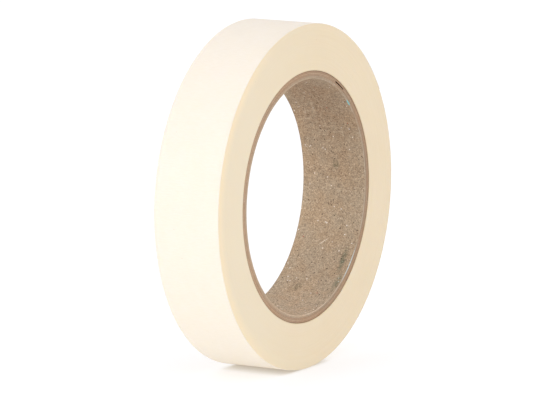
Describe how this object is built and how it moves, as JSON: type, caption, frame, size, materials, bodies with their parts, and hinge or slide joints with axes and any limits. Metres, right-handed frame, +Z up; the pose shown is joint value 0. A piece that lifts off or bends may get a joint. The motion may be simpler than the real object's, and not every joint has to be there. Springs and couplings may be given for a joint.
{
  "type": "masking tape roll",
  "caption": "Roll of cream crepe masking tape wound on a spiral-wound kraft board core, with a free end that peels up from the outer turn.",
  "frame": {"origin": "centre of the core's bore, half way between the two side faces", "axes": "+Y along the roll's axis, from the front face to the back face; +Z up, with the roll standing on its tread; +X to the right, seen from the front"},
  "size_m": [0.1122, 0.0236, 0.1122],
  "materials": {
    "kraft_liner": "matte",
    "kraft_board": "matte",
    "crepe_tape": "matte creped",
    "adhesive": "satin, tacky"
  },
  "bodies": {
    "roll": {"core_inner_liner": "kraft_liner", "core_first_ply": "kraft_board", "core_second_ply": "kraft_board", "core_third_ply": "kraft_board", "core_fourth_ply": "kraft_board", "core_outer_liner": "kraft_liner", "tape_winding": "crepe_tape", "tape_outer_turn": "crepe_tape"},
    "free_end": {"free_end_backing": "crepe_tape", "free_end_adhesive": "adhesive"}
  },
  "joints": [
    {"name": "free_end_peel", "type": "hinge", "parent": "roll", "child": "free_end", "pos_m": [0.03607, 0, 0.04298], "axis": [0, -1, 0], "range_deg": [0, 120]}
  ]
}
